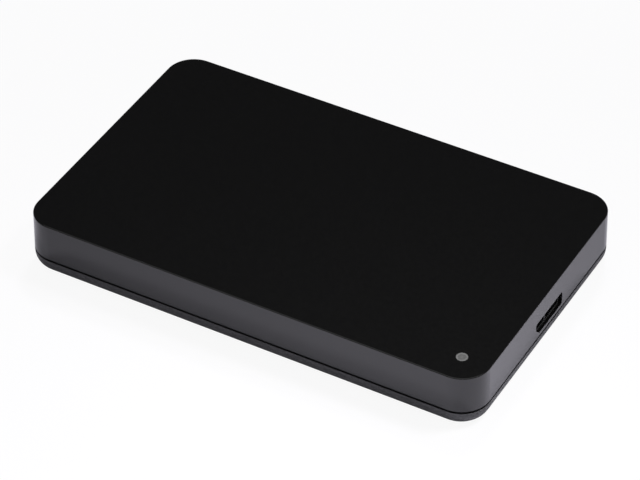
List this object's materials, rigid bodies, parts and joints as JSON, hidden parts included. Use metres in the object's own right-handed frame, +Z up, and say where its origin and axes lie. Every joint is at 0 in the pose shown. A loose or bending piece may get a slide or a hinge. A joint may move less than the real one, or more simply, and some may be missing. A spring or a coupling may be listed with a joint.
{
  "type": "portable external hard drive",
  "caption": "Slim black rounded-corner portable hard drive case with an indicator lens and a micro-B port, around a disc drive and its bridge board.",
  "frame": {"origin": "centre of the case's underside", "axes": "+X along the case towards the port, +Z up through the top face"},
  "size_m": [0.121, 0.0744, 0.015],
  "materials": {
    "case_plastic": "fine satin moulded black",
    "lens": "translucent grey",
    "foam": "closed-cell foam",
    "bumper_rubber": "soft moulded",
    "bridge_fr4": "solder mask",
    "drive_fr4": "solder mask",
    "connector_plastic": "moulded",
    "contact_metal": "gold plated",
    "shell_steel": "folded and plated",
    "chip_plastic": "moulded package",
    "crystal_can": "lidded can",
    "ferrite": "pressed ferrite",
    "capacitor_ceramic": "fired",
    "led_body": "clear epoxy",
    "cast_aluminium": "die cast, sealed",
    "lid_steel": "stamped",
    "gasket_rubber": "moulded bead",
    "filter_cloth": "felt",
    "bearing_bronze": "sintered",
    "lamination": "stacked sheet",
    "copper_wire": "enamelled winding",
    "shaft_steel": "ground",
    "hub_aluminium": "turned",
    "rotor_ferrite": "bonded magnet",
    "platter_coat": "polished",
    "arm_aluminium": "machined",
    "flexure_steel": "etched sheet",
    "ramp_plastic": "moulded",
    "yoke_steel": "nickel plated",
    "magnet_nickel": "nickel plated",
    "polyimide": "amber film",
    "bracket_plastic": "moulded"
  },
  "bodies": {
    "case": {"top_cover": "case_plastic", "bottom_cover": "case_plastic", "light_pipe": "lens", "lower_pad_1": "foam", "lower_pad_2": "foam", "upper_pad_1": "foam", "upper_pad_2": "foam", "end_bumper": "bumper_rubber", "drive_base": "cast_aluminium", "lid_gasket": "gasket_rubber", "drive_lid": "lid_steel", "breather_filter": "filter_cloth", "recirculation_filter": "filter_cloth", "bearing_sleeve": "bearing_bronze", "stator_core": "lamination", "stator_coils": "copper_wire", "pivot_post": "shaft_steel", "load_ramp": "ramp_plastic", "lower_yoke": "yoke_steel", "upper_yoke": "yoke_steel", "lower_magnet": "magnet_nickel", "upper_magnet": "magnet_nickel", "flex_bracket": "bracket_plastic", "flex_cable": "polyimide", "drive_board": "drive_fr4", "controller_chip": "chip_plastic", "cache_chip": "chip_plastic", "motor_driver_chip": "chip_plastic", "drive_plug": "connector_plastic", "drive_plug_contacts": "contact_metal", "bridge_board": "bridge_fr4", "drive_socket": "connector_plastic", "drive_socket_contacts": "contact_metal", "usb_shell": "shell_steel", "usb_tongue_1": "connector_plastic", "usb_tongue_2": "connector_plastic", "usb_contacts": "contact_metal", "bridge_chip": "chip_plastic", "flash_chip": "chip_plastic", "crystal": "crystal_can", "inductor": "ferrite", "indicator_led": "led_body", "capacitors": "capacitor_ceramic"},
    "spindle": {"spindle_hub": "hub_aluminium", "rotor_magnet": "rotor_ferrite", "platter": "platter_coat", "platter_clamp": "shaft_steel"},
    "actuator": {"pivot_bearing": "shaft_steel", "arm_block": "arm_aluminium", "voice_coil": "copper_wire", "head_suspension_1": "flexure_steel", "head_suspension_2": "flexure_steel"}
  },
  "joints": [
    {"name": "spindle_spin", "type": "hinge", "parent": "case", "child": "spindle", "pos_m": [-0.0234, 0, 0.0093], "axis": [0, 0, 1], "continuous": true},
    {"name": "arm_swing", "type": "hinge", "parent": "case", "child": "actuator", "pos_m": [0.0171, -0.012, 0.0093], "axis": [0, 0, 1], "range_deg": [0, 33], "deforming": ["flex_cable"]}
  ]
}
